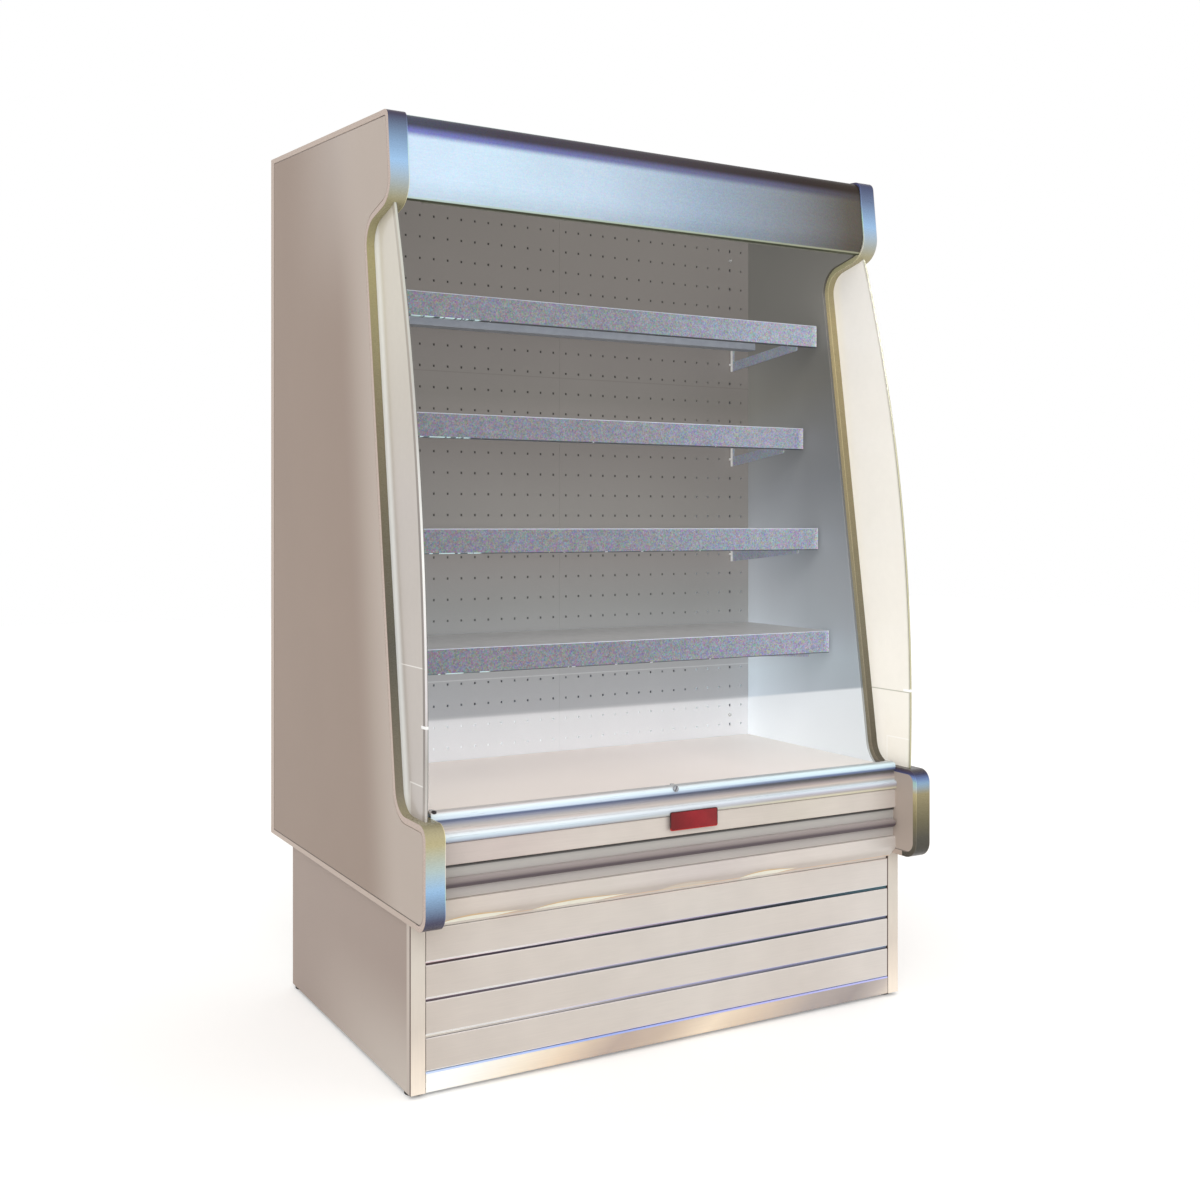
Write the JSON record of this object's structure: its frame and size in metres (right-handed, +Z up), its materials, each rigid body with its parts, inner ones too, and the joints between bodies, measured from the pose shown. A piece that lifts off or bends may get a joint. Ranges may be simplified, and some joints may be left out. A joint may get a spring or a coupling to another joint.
{
  "type": "open multideck display fridge",
  "caption": "Free-standing open-front refrigerated display cabinet with lift-up shelves, a lift-out deck and a louvred base that holds the condensing unit.",
  "frame": {"origin": "on the floor, in the middle of the footprint", "axes": "+Z up, -Y towards the customer's side, +X to the right of someone facing the shelves"},
  "size_m": [1.295, 1.05, 2.0997],
  "materials": {
    "painted_side": "smooth taupe powder coat",
    "painted_base": "smooth taupe powder coat",
    "painted_back": "light grey coat",
    "edge_trim": "bright rolled edge trim",
    "clear_pane": "clear acrylic, polished edges",
    "inner_white": "white low-gloss coat",
    "duct_metal": "grey-white coat, perforated",
    "tub_steel": "white coat",
    "galvanised": "zinc coated",
    "grille_plastic": "white",
    "canopy_steel": "satin stainless",
    "light_aluminium": "satin",
    "opal_plastic": "opal",
    "nosing_steel": "bright rolled stainless",
    "apron_steel": "satin stainless",
    "channel_grey": "grey",
    "bumper_plastic": "dark, soft gloss",
    "badge_red": "plain red",
    "shelf_zinc": "blue-grey zinc spangle",
    "deck_steel": "off-white coat",
    "frame_steel": "black coat",
    "post_steel": "satin stainless",
    "louvre_steel": "satin stainless",
    "fin_aluminium": "bare fins",
    "fan_plastic": "black",
    "motor_black": "black enamel",
    "compressor_black": "black enamel",
    "tray_plastic": "dark grey",
    "control_grey": "light grey coat",
    "switch_black": "black",
    "copper": "bare copper",
    "screw_steel": "bright",
    "foot_black": "black"
  },
  "bodies": {
    "cabinet": {"left_end_panel": "painted_side", "left_end_trim": "edge_trim", "left_wing_pane": "clear_pane", "left_inner_liner": "inner_white", "left_duct_panel": "duct_metal", "left_base_panel": "painted_base", "right_end_panel": "painted_side", "right_end_trim": "edge_trim", "right_wing_pane": "clear_pane", "right_inner_liner": "inner_white", "right_duct_panel": "duct_metal", "right_base_panel": "painted_base", "insulated_floor_tub": "tub_steel", "insulated_back_wall": "painted_back", "insulated_roof": "painted_back", "shelf_uprights": "galvanised", "discharge_grille": "grille_plastic", "ceiling_duct_panel": "inner_white", "canopy_fascia": "canopy_steel", "light_housing": "light_aluminium", "light_diffuser": "opal_plastic", "front_nosing": "nosing_steel", "front_apron": "apron_steel", "bumper_channel": "channel_grey", "bumper_rail": "bumper_plastic", "lower_apron": "apron_steel", "badge_plate": "badge_red", "base_frame": "frame_steel", "front_corner_posts": "post_steel", "kick_plate": "louvre_steel", "rear_base_panel": "painted_back", "condenser_coil": "fin_aluminium", "condenser_fan_shroud": "galvanised", "condenser_fan_motor": "motor_black", "compressor": "compressor_black", "drain_tray": "tray_plastic", "control_box": "control_grey", "refrigerant_lines": "copper", "evaporator_coil": "fin_aluminium", "evaporator_fan_plate": "galvanised", "evaporator_fan_motors": "motor_black", "cabinet_screws": "screw_steel"},
    "shelf_1": {"shelf_1_tray": "shelf_zinc", "shelf_1_brackets": "galvanised"},
    "shelf_2": {"shelf_2_tray": "shelf_zinc", "shelf_2_brackets": "galvanised"},
    "shelf_3": {"shelf_3_tray": "shelf_zinc", "shelf_3_brackets": "galvanised"},
    "shelf_4": {"shelf_4_tray": "shelf_zinc", "shelf_4_brackets": "galvanised"},
    "deck": {"deck_pan": "deck_steel"},
    "front_grille": {"louvre_panel": "louvre_steel"},
    "condenser_wheel": {"condenser_fan": "fan_plastic"},
    "evaporator_wheel_left": {"evaporator_fan_left": "fan_plastic"},
    "evaporator_wheel_right": {"evaporator_fan_right": "fan_plastic"},
    "switch_rocker": {"power_switch": "switch_black"},
    "foot_front_left_screw": {"foot_front_left": "foot_black"},
    "foot_front_right_screw": {"foot_front_right": "foot_black"},
    "foot_rear_left_screw": {"foot_rear_left": "foot_black"},
    "foot_rear_right_screw": {"foot_rear_right": "foot_black"}
  },
  "joints": [
    {"name": "shelf_1_lift", "type": "hinge", "parent": "cabinet", "child": "shelf_1", "pos_m": [0, 0.1505, 1.64725], "axis": [-1, 0, 0], "range_deg": [0, 12]},
    {"name": "shelf_2_lift", "type": "hinge", "parent": "cabinet", "child": "shelf_2", "pos_m": [0, 0.1505, 1.38475], "axis": [-1, 0, 0], "range_deg": [0, 12]},
    {"name": "shelf_3_lift", "type": "hinge", "parent": "cabinet", "child": "shelf_3", "pos_m": [0, 0.1505, 1.12225], "axis": [-1, 0, 0], "range_deg": [0, 12]},
    {"name": "shelf_4_lift", "type": "hinge", "parent": "cabinet", "child": "shelf_4", "pos_m": [0, 0.1505, 0.85975], "axis": [-1, 0, 0], "range_deg": [0, 12]},
    {"name": "deck_lift", "type": "slide", "parent": "cabinet", "child": "deck", "axis": [0, 0, 1], "range_m": [0, 0.1]},
    {"name": "grille_tilt", "type": "hinge", "parent": "cabinet", "child": "front_grille", "pos_m": [0, -0.424, 0.0503], "axis": [1, 0, 0], "range_deg": [0, 20]},
    {"name": "condenser_fan_spin", "type": "hinge", "parent": "cabinet", "child": "condenser_wheel", "pos_m": [-0.2, -0.315, 0.183], "axis": [0, 1, 0], "continuous": true},
    {"name": "evaporator_fan_left_spin", "type": "hinge", "parent": "cabinet", "child": "evaporator_wheel_left", "pos_m": [-0.28, 0.04, 0.478], "axis": [0, 1, 0], "continuous": true},
    {"name": "evaporator_fan_right_spin", "type": "hinge", "parent": "cabinet", "child": "evaporator_wheel_right", "pos_m": [0.28, 0.04, 0.478], "axis": [0, 1, 0], "continuous": true},
    {"name": "power_switch_rock", "type": "hinge", "parent": "cabinet", "child": "switch_rocker", "pos_m": [0.5415, -0.394, 0.264], "axis": [-1, 0, 0], "range_deg": [0, 16]},
    {"name": "foot_front_left_level", "type": "slide", "parent": "cabinet", "child": "foot_front_left_screw", "axis": [0, 0, -1], "range_m": [0, 0.02]},
    {"name": "foot_front_right_level", "type": "slide", "parent": "cabinet", "child": "foot_front_right_screw", "axis": [0, 0, -1], "range_m": [0, 0.02]},
    {"name": "foot_rear_left_level", "type": "slide", "parent": "cabinet", "child": "foot_rear_left_screw", "axis": [0, 0, -1], "range_m": [0, 0.02]},
    {"name": "foot_rear_right_level", "type": "slide", "parent": "cabinet", "child": "foot_rear_right_screw", "axis": [0, 0, -1], "range_m": [0, 0.02]}
  ]
}
